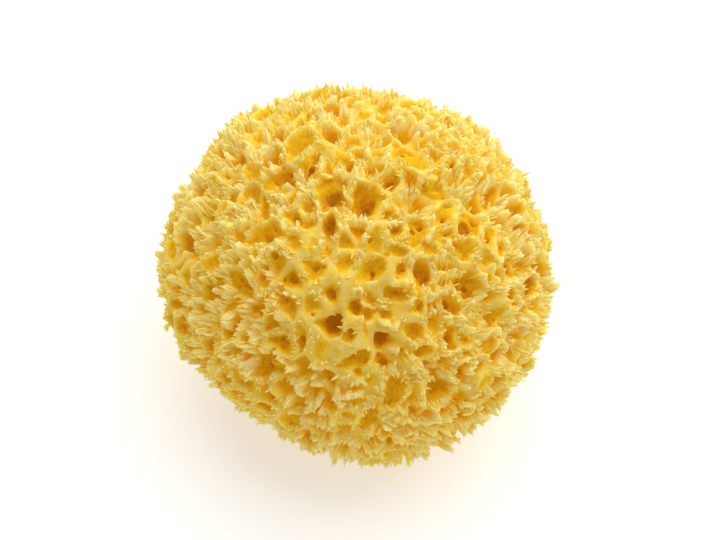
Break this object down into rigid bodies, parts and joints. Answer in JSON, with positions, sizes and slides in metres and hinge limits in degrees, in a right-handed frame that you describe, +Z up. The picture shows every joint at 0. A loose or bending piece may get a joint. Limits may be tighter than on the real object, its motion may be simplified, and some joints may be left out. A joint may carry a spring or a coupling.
{
  "type": "sea sponge",
  "caption": "Natural bath sponge: a domed, tufted, porous golden sponge that rests on the flat face where it was cut from its rock.",
  "frame": {"origin": "middle of the flat cut face that the sponge rests on, which is also the root its tufts and pores point away from", "axes": "+Z up through the dome, -Y towards the front from which the picture was taken, +X to the right"},
  "size_m": [0.121, 0.1224, 0.0878],
  "materials": {
    "bleached_sponge": "matt, fibrous, slightly translucent"
  },
  "bodies": {
    "root": {"sponge": "bleached_sponge"}
  },
  "joints": []
}
